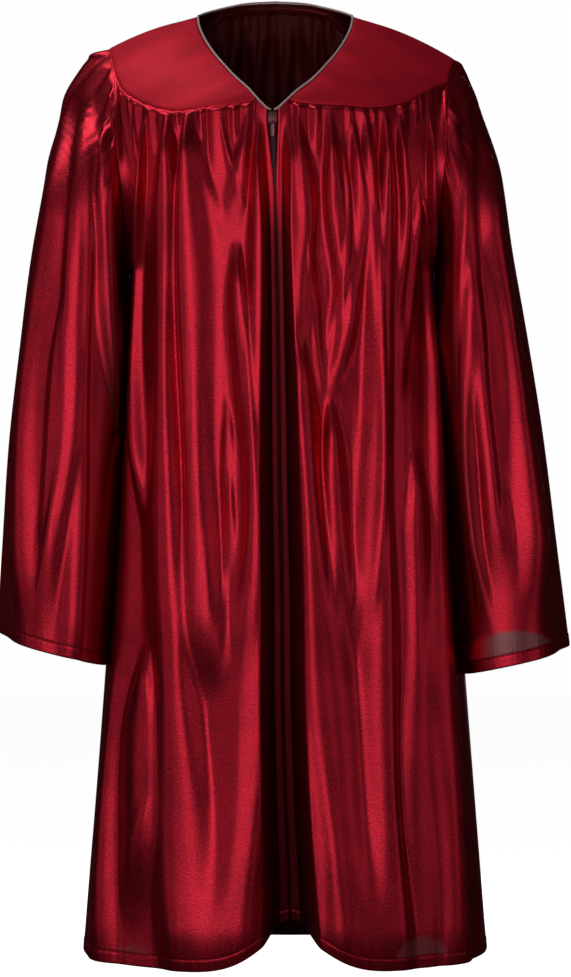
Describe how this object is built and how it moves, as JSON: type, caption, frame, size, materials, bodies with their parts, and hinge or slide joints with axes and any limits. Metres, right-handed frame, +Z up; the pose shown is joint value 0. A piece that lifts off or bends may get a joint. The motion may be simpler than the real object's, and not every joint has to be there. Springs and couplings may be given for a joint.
{
  "type": "graduation gown",
  "caption": "Child's graduation gown in shiny maroon cloth, hollow as worn, with a smooth yoke, gathered front and back, a front zip in a deep fold and long wide sleeves.",
  "frame": {"origin": "between the shoulders, on the gown's middle plane, at the height of the sides of the neckline, where the wearer holds the gown up", "axes": "+X to the viewer's right, -Y to the front, +Z up"},
  "size_m": [0.4552, 0.2535, 0.7722],
  "materials": {
    "maroon_satin": "shiny satin",
    "pale_edging": "matt",
    "zip_tape": "matt woven tape",
    "enamelled_zip": "satin enamel"
  },
  "bodies": {
    "gown": {"yoke_left": "maroon_satin", "yoke_right": "maroon_satin", "front_left": "maroon_satin", "front_right": "maroon_satin", "back": "maroon_satin", "back_neck_band": "maroon_satin", "sleeve_left": "maroon_satin", "sleeve_right": "maroon_satin", "neck_edging": "pale_edging", "zip_tape_left": "zip_tape", "zip_tape_right": "zip_tape", "zip_chain": "zip_tape", "zip_bottom_stop": "enamelled_zip", "zip_slider": "enamelled_zip"},
    "pull": {"pull_tab": "enamelled_zip"}
  },
  "joints": [
    {"name": "pull_tab_hinge", "type": "hinge", "parent": "gown", "child": "pull", "pos_m": [-0.00492, -0.08553, -0.0924], "axis": [-1, 0, 0], "range_deg": [0, 150]}
  ]
}
